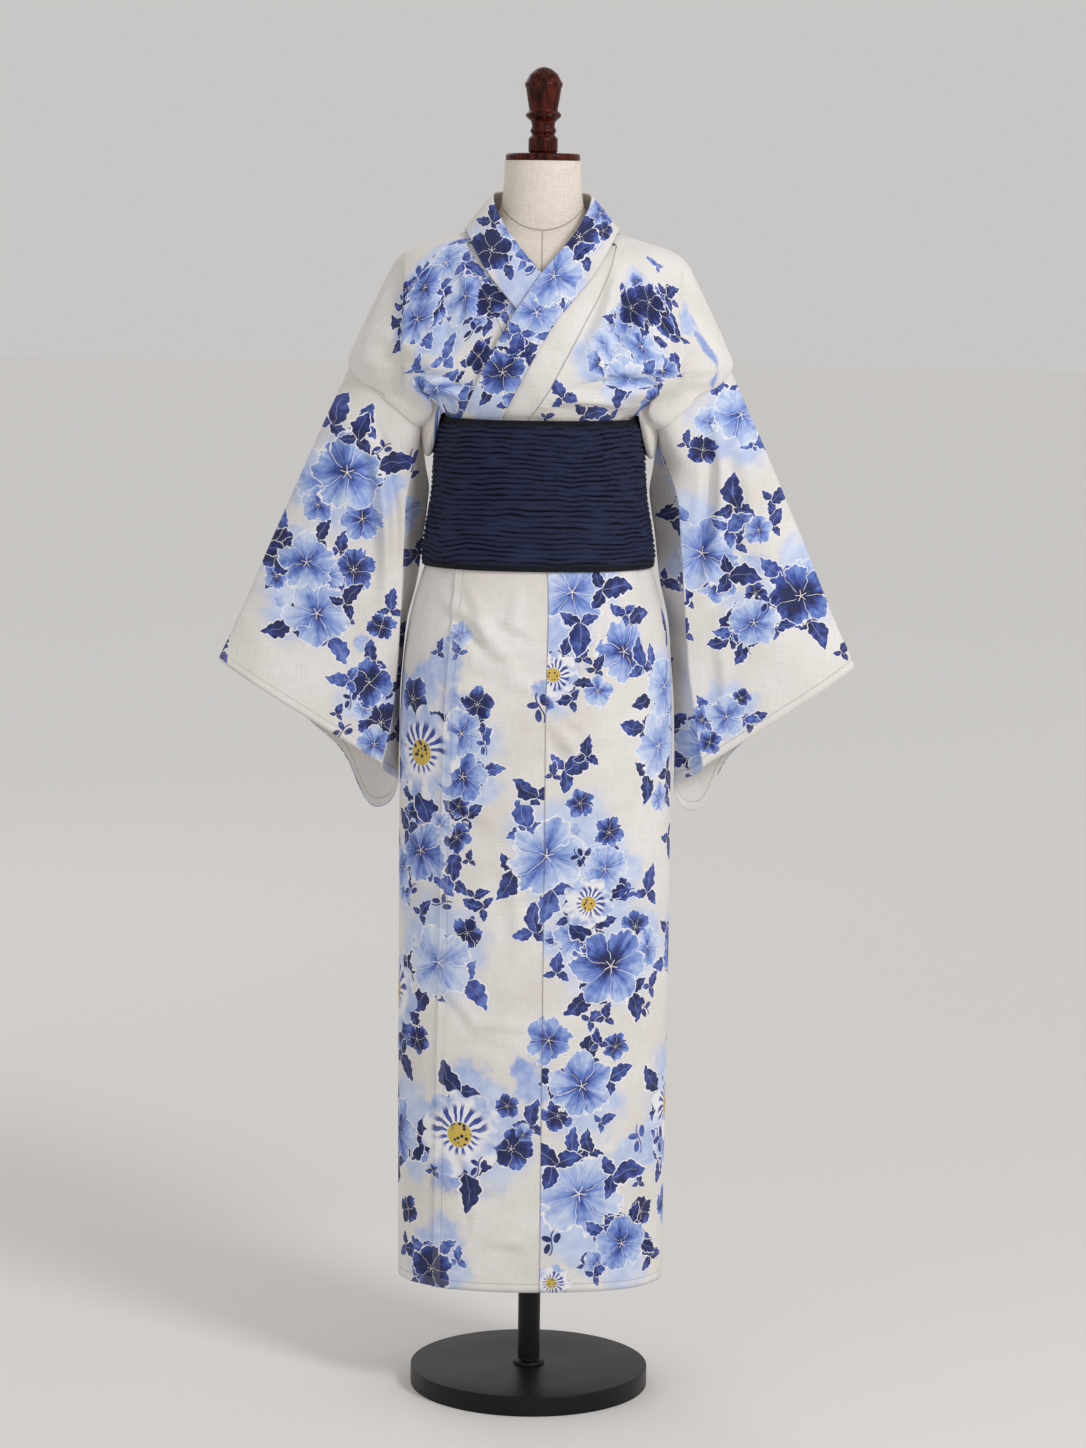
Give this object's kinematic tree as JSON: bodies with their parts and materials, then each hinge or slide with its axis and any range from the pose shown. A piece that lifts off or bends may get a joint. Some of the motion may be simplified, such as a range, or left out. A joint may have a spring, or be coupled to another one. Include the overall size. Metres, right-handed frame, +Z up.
{
  "type": "cotton yukata robe on a dress form",
  "caption": "Straight-cut cotton yukata robe with hanging sleeves, crossed collar and a crinkled waist wrap, worn by a limbless dress form on a round stand.",
  "frame": {"origin": "middle of the base plate's underside", "axes": "+Z up along the stand, -Y towards the front, +X towards the wearer's left"},
  "size_m": [0.8034, 0.3, 1.6515],
  "materials": {
    "printed_cotton": "matt ivory cotton with a blue and navy flower print",
    "navy_crepe": "crinkled crepe with a slight sheen",
    "ivory_linen": "matt, tightly covered",
    "polished_mahogany": "polished",
    "black_steel": "satin"
  },
  "bodies": {
    "root": {"body_right": "printed_cotton", "body_left": "printed_cotton", "okumi_right": "printed_cotton", "okumi_left": "printed_cotton", "collar": "printed_cotton", "sleeve_right": "printed_cotton", "sleeve_left": "printed_cotton", "obi": "navy_crepe", "obi_end": "navy_crepe", "form_body": "ivory_linen", "neck_cap": "polished_mahogany", "finial": "polished_mahogany", "pole": "black_steel", "base_plate": "black_steel"}
  },
  "joints": []
}
